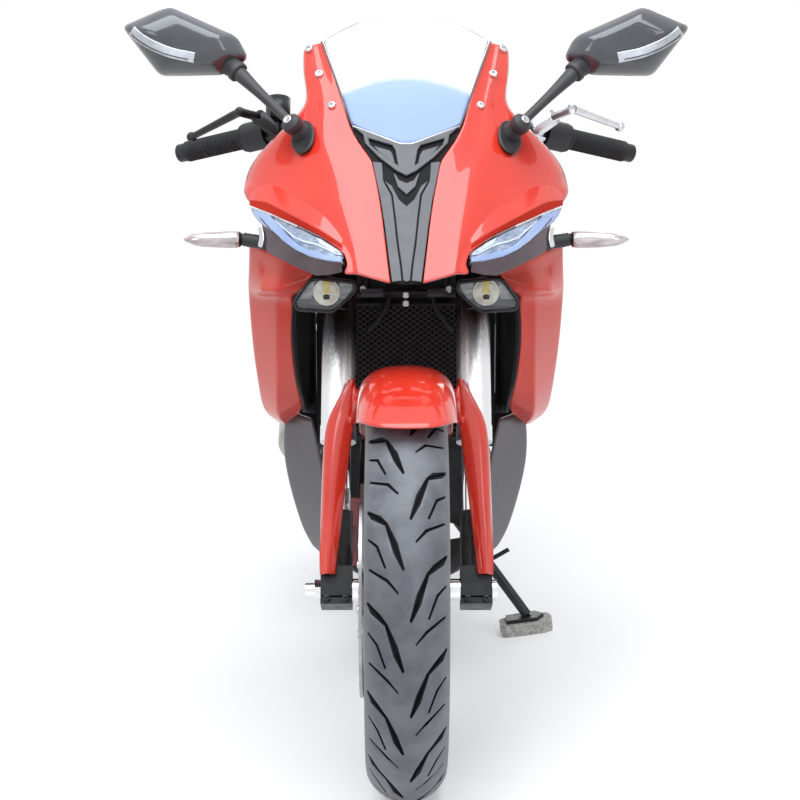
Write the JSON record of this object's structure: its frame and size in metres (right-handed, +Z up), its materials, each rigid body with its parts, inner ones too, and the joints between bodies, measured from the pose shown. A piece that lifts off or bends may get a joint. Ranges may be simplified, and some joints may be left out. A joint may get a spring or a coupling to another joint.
{
  "type": "faired sport motorcycle",
  "caption": "Fully faired sport motorcycle parked on its side stand: turning steering and wheels, folding stand, slim lamps, screen, mirrors, tank, seats, chain and exhaust.",
  "frame": {"origin": "on the floor, at the middle of the footprint of the machine as parked", "axes": "+Z up, front towards -Y, rider's left towards +X; the machine leans 8.3 degrees towards +X on its side stand"},
  "size_m": [0.7838, 1.9858, 1.151],
  "materials": {
    "red_paint": "gloss",
    "dark_trim": "satin",
    "grey_trim": "satin",
    "black_metal": "satin",
    "wheel_black": "semi gloss",
    "tyre_rubber": "matte",
    "soft_rubber": "matte",
    "bright_alloy": "satin",
    "steel": "satin",
    "chrome": "polished",
    "red_caliper": "satin",
    "engine_alloy": "satin",
    "exhaust_steel": "satin",
    "clear_screen": "clear",
    "clear_lens": "clear",
    "red_lens": "clear",
    "mirror": "polished",
    "seat_cover": "matte",
    "pale_wrap": "matte"
  },
  "bodies": {
    "chassis": {"frame": "black_metal", "engine": "engine_alloy", "radiator": "black_metal", "exhaust": "exhaust_steel", "swingarm": "black_metal", "rear_axle": "steel", "rear_caliper": "black_metal", "shock": "red_caliper", "drive_chain": "steel", "chain_guard": "dark_trim", "footrests": "black_metal", "fuel_tank": "red_paint", "fuel_cap": "bright_alloy", "rider_seat": "seat_cover", "pillion_seat": "seat_cover", "tail_cowl": "red_paint", "tail_light": "red_lens", "plate_bracket": "dark_trim", "rear_indicators": "dark_trim", "nose_cowl": "red_paint", "nose_trim": "grey_trim", "windscreen": "clear_screen", "headlamps": "clear_lens", "lamp_surround": "dark_trim", "lower_lamps": "clear_lens", "lamp_housings": "dark_trim", "side_fairings": "red_paint", "inner_panels": "dark_trim", "belly_pan": "grey_trim", "front_indicators": "dark_trim", "mirrors": "dark_trim", "mirror_glass": "mirror", "instrument_panel": "dark_trim"},
    "steering": {"fork_yokes": "black_metal", "fork_outer_tubes": "bright_alloy", "fork_inner_tubes": "chrome", "fork_feet": "black_metal", "front_axle": "steel", "front_fender": "red_paint", "front_caliper": "red_caliper", "handlebars": "black_metal", "grips": "soft_rubber", "switch_pods": "dark_trim", "hand_levers": "bright_alloy"},
    "front_wheel": {"front_tyre": "tyre_rubber", "front_rim": "wheel_black", "front_disc": "steel"},
    "rear_wheel": {"rear_tyre": "tyre_rubber", "rear_rim": "wheel_black", "rear_disc": "steel", "rear_sprocket": "steel"},
    "side_stand": {"side_stand": "black_metal", "stand_pad": "pale_wrap"}
  },
  "joints": [
    {"name": "steering_turn", "type": "hinge", "parent": "chassis", "child": "steering", "pos_m": [-0.11682, -0.67088, 0.27758], "axis": [0.1314, 0.4147, 0.9004], "range_deg": [-25, 25]},
    {"name": "front_wheel_spin", "type": "hinge", "parent": "steering", "child": "front_wheel", "pos_m": [-0.11491, -0.7, 0.29071], "axis": [0.9895, 0, -0.1444], "continuous": true},
    {"name": "rear_wheel_spin", "type": "hinge", "parent": "chassis", "child": "rear_wheel", "pos_m": [-0.11202, 0.68, 0.3105], "axis": [0.9895, 0, -0.1444], "continuous": true},
    {"name": "side_stand_fold", "type": "hinge", "parent": "chassis", "child": "side_stand", "pos_m": [-0.03903, 0.112, 0.22204], "axis": [0.8199, -0.2007, 0.5362], "range_deg": [0, 97]}
  ]
}
